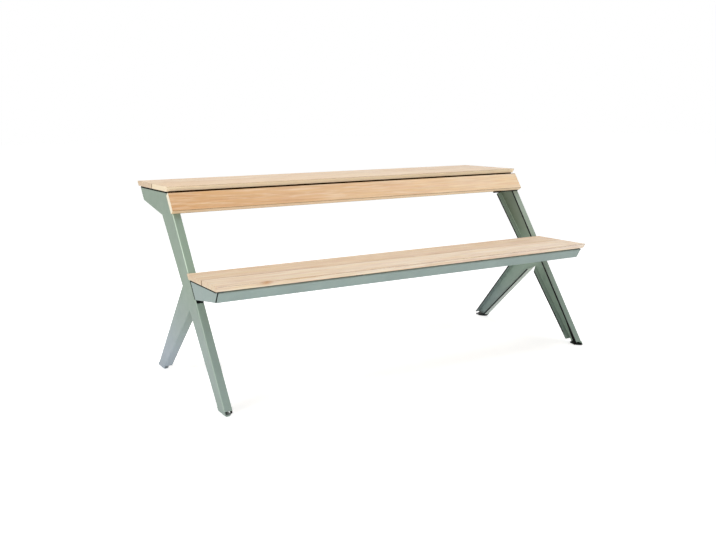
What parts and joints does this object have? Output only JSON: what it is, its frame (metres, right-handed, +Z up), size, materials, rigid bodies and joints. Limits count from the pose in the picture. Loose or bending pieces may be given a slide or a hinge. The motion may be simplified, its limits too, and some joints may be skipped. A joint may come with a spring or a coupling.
{
  "type": "picnic bench with half table",
  "caption": "Folded-steel bench whose raked backrest uprights carry a narrow wooden table behind the sitter; levelling feet.",
  "frame": {"origin": "middle of the footprint's box, on the floor", "axes": "+X along the bench, +Z up; the sitter faces -Y and the table lies towards +Y"},
  "size_m": [1.69, 0.8542, 0.75],
  "materials": {
    "green_steel": "satin powder coat in grey-green",
    "oiled_wood": "pale thermally dried softwood, oiled matt",
    "black_plastic": "black polyamide",
    "black_steel": "blackened steel",
    "zinc_steel": "zinc plated steel"
  },
  "bodies": {
    "root": {"apron_studs": "zinc_steel", "backrest_board": "oiled_wood", "board_screws": "zinc_steel", "board_washers": "zinc_steel", "bracket_bolts": "zinc_steel", "bracket_nuts": "zinc_steel", "foot_inserts": "black_steel", "joint_washers": "zinc_steel", "rear_rail_bolts": "zinc_steel", "rear_rail_nuts": "zinc_steel", "seat_apron": "green_steel", "seat_bracket_left": "green_steel", "seat_bracket_right": "green_steel", "seat_plank_front": "oiled_wood", "seat_plank_rear": "oiled_wood", "seat_rear_rail": "green_steel", "seat_rib_1": "green_steel", "seat_rib_2": "green_steel", "seat_screws": "zinc_steel", "seat_spacers": "black_plastic", "side_frame_left": "green_steel", "side_frame_right": "green_steel", "table_front_rail": "green_steel", "table_plank_front": "oiled_wood", "table_plank_rear": "oiled_wood", "table_rear_rail": "green_steel", "table_rib_1": "green_steel", "table_rib_2": "green_steel", "table_screws": "zinc_steel", "table_spacers": "black_plastic"},
    "foot_front_left": {"foot_pad_front_left": "black_plastic", "foot_stud_front_left": "black_steel"},
    "foot_front_right": {"foot_pad_front_right": "black_plastic", "foot_stud_front_right": "black_steel"},
    "foot_rear_left": {"foot_pad_rear_left": "black_plastic", "foot_stud_rear_left": "black_steel"},
    "foot_rear_right": {"foot_pad_rear_right": "black_plastic", "foot_stud_rear_right": "black_steel"}
  },
  "joints": [
    {"name": "level_front_left", "type": "slide", "parent": "root", "child": "foot_front_left", "axis": [0, 0, -1], "range_m": [0, 0.012]},
    {"name": "level_front_right", "type": "slide", "parent": "root", "child": "foot_front_right", "axis": [0, 0, -1], "range_m": [0, 0.012]},
    {"name": "level_rear_left", "type": "slide", "parent": "root", "child": "foot_rear_left", "axis": [0, 0, -1], "range_m": [0, 0.012]},
    {"name": "level_rear_right", "type": "slide", "parent": "root", "child": "foot_rear_right", "axis": [0, 0, -1], "range_m": [0, 0.012]}
  ]
}
